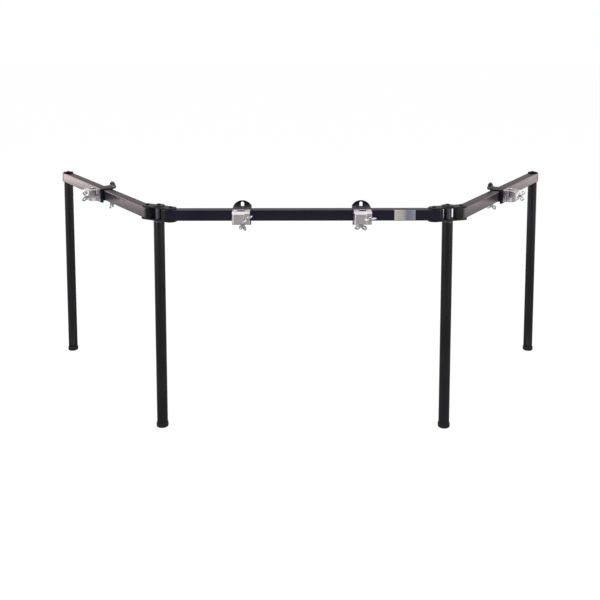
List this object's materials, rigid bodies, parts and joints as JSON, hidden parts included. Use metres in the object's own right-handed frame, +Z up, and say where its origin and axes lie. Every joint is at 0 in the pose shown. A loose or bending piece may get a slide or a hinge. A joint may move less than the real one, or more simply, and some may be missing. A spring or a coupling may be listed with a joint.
{
  "type": "drum rack frame",
  "caption": "Free-standing three-sided rack of black square bars on round legs, hinged at the front corners, with sliding hinged pipe clamps.",
  "frame": {"origin": "on the floor, under the middle of the whole rack's bounding box", "axes": "+X along the front bar to the right as seen from the front, +Y to the back, where the wings open, +Z up"},
  "size_m": [2.0596, 0.9232, 0.8121],
  "materials": {
    "black_tube": "satin black anodised tube",
    "black_plate": "black coated plate",
    "black_plastic": "moulded black nylon",
    "rubber": "moulded black rubber",
    "chrome": "plated castings and wing screws",
    "dark_steel": "blackened steel"
  },
  "bodies": {
    "front_bar": {"front_bar": "black_tube", "front_bar_left_plug": "black_plastic", "front_bar_right_plug": "black_plastic"},
    "left_link": {"left_bottom_link": "black_plate", "left_top_link": "black_plate", "left_corner_post": "dark_steel", "left_corner_cap": "black_plate", "left_post_bolt": "dark_steel", "left_inner_bolt": "dark_steel", "left_outer_bolt": "dark_steel", "front_left_leg": "black_tube", "front_left_foot": "rubber"},
    "left_wing": {"left_wing_bar": "black_tube", "left_wing_front_plug": "black_plastic", "left_wing_rear_plug": "black_plastic", "rear_left_leg": "black_tube", "rear_left_foot": "rubber", "rear_left_cap": "black_plate", "rear_left_bolt": "dark_steel"},
    "right_link": {"right_bottom_link": "black_plate", "right_top_link": "black_plate", "right_corner_post": "dark_steel", "right_corner_cap": "black_plate", "right_post_bolt": "dark_steel", "right_inner_bolt": "dark_steel", "right_outer_bolt": "dark_steel", "front_right_leg": "black_tube", "front_right_foot": "rubber"},
    "right_wing": {"right_wing_bar": "black_tube", "right_wing_front_plug": "black_plastic", "right_wing_rear_plug": "black_plastic", "rear_right_leg": "black_tube", "rear_right_foot": "rubber", "rear_right_cap": "black_plate", "rear_right_bolt": "dark_steel"},
    "front_left_clamp": {"front_left_clamp_bracket": "black_plate", "front_left_pipe_base": "chrome"},
    "front_left_lower_jaw": {"front_left_lower_jaw": "black_plate"},
    "front_left_clamp_screw": {"front_left_clamp_screw": "chrome"},
    "front_left_pipe_jaw": {"front_left_pipe_jaw": "chrome"},
    "front_left_jaw_screw": {"front_left_jaw_screw": "chrome"},
    "front_right_clamp": {"front_right_clamp_bracket": "black_plate", "front_right_pipe_base": "chrome"},
    "front_right_lower_jaw": {"front_right_lower_jaw": "black_plate"},
    "front_right_clamp_screw": {"front_right_clamp_screw": "chrome"},
    "front_right_pipe_jaw": {"front_right_pipe_jaw": "chrome"},
    "front_right_jaw_screw": {"front_right_jaw_screw": "chrome"},
    "left_wing_clamp": {"left_wing_clamp_bracket": "black_plate", "left_wing_pipe_base": "chrome"},
    "left_wing_lower_jaw": {"left_wing_lower_jaw": "black_plate"},
    "left_wing_clamp_screw": {"left_wing_clamp_screw": "chrome"},
    "left_wing_pipe_jaw": {"left_wing_pipe_jaw": "chrome"},
    "left_wing_jaw_screw": {"left_wing_jaw_screw": "chrome"},
    "right_wing_clamp": {"right_wing_clamp_bracket": "black_plate", "right_wing_pipe_base": "chrome"},
    "right_wing_lower_jaw": {"right_wing_lower_jaw": "black_plate"},
    "right_wing_clamp_screw": {"right_wing_clamp_screw": "chrome"},
    "right_wing_pipe_jaw": {"right_wing_pipe_jaw": "chrome"},
    "right_wing_jaw_screw": {"right_wing_jaw_screw": "chrome"}
  },
  "joints": [
    {"name": "left_link_swing", "type": "hinge", "parent": "front_bar", "child": "left_link", "pos_m": [-0.45078, -0.36367, 0.7937], "axis": [0, 0, 1], "range_deg": [-58, 32]},
    {"name": "left_wing_swing", "type": "hinge", "parent": "left_link", "child": "left_wing", "pos_m": [-0.53898, -0.30856, 0.7937], "axis": [0, 0, 1], "range_deg": [-56, 56]},
    {"name": "right_link_swing", "type": "hinge", "parent": "front_bar", "child": "right_link", "pos_m": [0.45322, -0.36367, 0.7937], "axis": [0, 0, 1], "range_deg": [-18, 58]},
    {"name": "right_wing_swing", "type": "hinge", "parent": "right_link", "child": "right_wing", "pos_m": [0.55213, -0.33153, 0.7937], "axis": [0, 0, 1], "range_deg": [-56, 56]},
    {"name": "front_left_clamp_slide", "type": "slide", "parent": "front_bar", "child": "front_left_clamp", "axis": [1, 0, 0], "range_m": [-0.18, 0.17]},
    {"name": "front_left_clamp_screw_travel", "type": "slide", "parent": "front_left_clamp", "child": "front_left_clamp_screw", "axis": [0, 0, -1], "range_m": [0, 0.012]},
    {"name": "front_left_lower_jaw_hinge", "type": "hinge", "parent": "front_left_clamp", "child": "front_left_lower_jaw", "pos_m": [-0.20578, -0.38552, 0.743], "axis": [-1, 0, 0], "range_deg": [0, 12.34]},
    {"name": "front_left_pipe_jaw_hinge", "type": "hinge", "parent": "front_left_clamp", "child": "front_left_pipe_jaw", "pos_m": [-0.23078, -0.41007, 0.76905], "axis": [0, 0, -1], "range_deg": [0, 75]},
    {"name": "front_left_jaw_screw_turn", "type": "hinge", "parent": "front_left_pipe_jaw", "child": "front_left_jaw_screw", "pos_m": [-0.18378, -0.43932, 0.76905], "axis": [0, -1, 0], "continuous": true},
    {"name": "front_right_clamp_slide", "type": "slide", "parent": "front_bar", "child": "front_right_clamp", "axis": [1, 0, 0], "range_m": [-0.17, 0.18]},
    {"name": "front_right_clamp_screw_travel", "type": "slide", "parent": "front_right_clamp", "child": "front_right_clamp_screw", "axis": [0, 0, -1], "range_m": [0, 0.012]},
    {"name": "front_right_lower_jaw_hinge", "type": "hinge", "parent": "front_right_clamp", "child": "front_right_lower_jaw", "pos_m": [0.20422, -0.38552, 0.743], "axis": [-1, 0, 0], "range_deg": [0, 12.34]},
    {"name": "front_right_pipe_jaw_hinge", "type": "hinge", "parent": "front_right_clamp", "child": "front_right_pipe_jaw", "pos_m": [0.17922, -0.41007, 0.76905], "axis": [0, 0, -1], "range_deg": [0, 75]},
    {"name": "front_right_jaw_screw_turn", "type": "hinge", "parent": "front_right_pipe_jaw", "child": "front_right_jaw_screw", "pos_m": [0.22622, -0.43932, 0.76905], "axis": [0, -1, 0], "continuous": true},
    {"name": "left_wing_clamp_slide", "type": "slide", "parent": "left_wing", "child": "left_wing_clamp", "axis": [0.5299, -0.848, 0], "range_m": [-0.35, 0.3]},
    {"name": "left_wing_clamp_screw_travel", "type": "slide", "parent": "left_wing_clamp", "child": "left_wing_clamp_screw", "axis": [0, 0, -1], "range_m": [0, 0.012]},
    {"name": "left_wing_lower_jaw_hinge", "type": "hinge", "parent": "left_wing_clamp", "child": "left_wing_lower_jaw", "pos_m": [-0.78272, 0.04028, 0.743], "axis": [-0.5299, 0.848, 0], "range_deg": [0, 12.34]},
    {"name": "left_wing_pipe_jaw_hinge", "type": "hinge", "parent": "left_wing_clamp", "child": "left_wing_pipe_jaw", "pos_m": [-0.81679, 0.04847, 0.76905], "axis": [0, 0, -1], "range_deg": [0, 75]},
    {"name": "left_wing_jaw_screw_turn", "type": "hinge", "parent": "left_wing_pipe_jaw", "child": "left_wing_jaw_screw", "pos_m": [-0.81669, -0.00688, 0.76905], "axis": [-0.848, -0.5299, 0], "continuous": true},
    {"name": "right_wing_clamp_slide", "type": "slide", "parent": "right_wing", "child": "right_wing_clamp", "axis": [0.515, 0.8572, 0], "range_m": [-0.27, 0.37]},
    {"name": "right_wing_clamp_screw_travel", "type": "slide", "parent": "right_wing_clamp", "child": "right_wing_clamp_screw", "axis": [0, 0, -1], "range_m": [0, 0.012]},
    {"name": "right_wing_lower_jaw_hinge", "type": "hinge", "parent": "right_wing_clamp", "child": "right_wing_lower_jaw", "pos_m": [0.78048, 0.00608, 0.743], "axis": [-0.515, -0.8572, 0], "range_deg": [0, 12.34]},
    {"name": "right_wing_pipe_jaw_hinge", "type": "hinge", "parent": "right_wing_clamp", "child": "right_wing_pipe_jaw", "pos_m": [0.78865, -0.02799, 0.76905], "axis": [0, 0, -1], "range_deg": [0, 75]},
    {"name": "right_wing_jaw_screw_turn", "type": "hinge", "parent": "right_wing_pipe_jaw", "child": "right_wing_jaw_screw", "pos_m": [0.83793, -0.00277, 0.76905], "axis": [0.8572, -0.515, 0], "continuous": true}
  ],
  "couplings": [
    {"joint": "front_left_lower_jaw_hinge", "follows": "front_left_clamp_screw_travel", "rad_per_m": 17.95},
    {"joint": "front_right_lower_jaw_hinge", "follows": "front_right_clamp_screw_travel", "rad_per_m": 17.95},
    {"joint": "left_wing_lower_jaw_hinge", "follows": "left_wing_clamp_screw_travel", "rad_per_m": 17.95},
    {"joint": "right_wing_lower_jaw_hinge", "follows": "right_wing_clamp_screw_travel", "rad_per_m": 17.95}
  ]
}
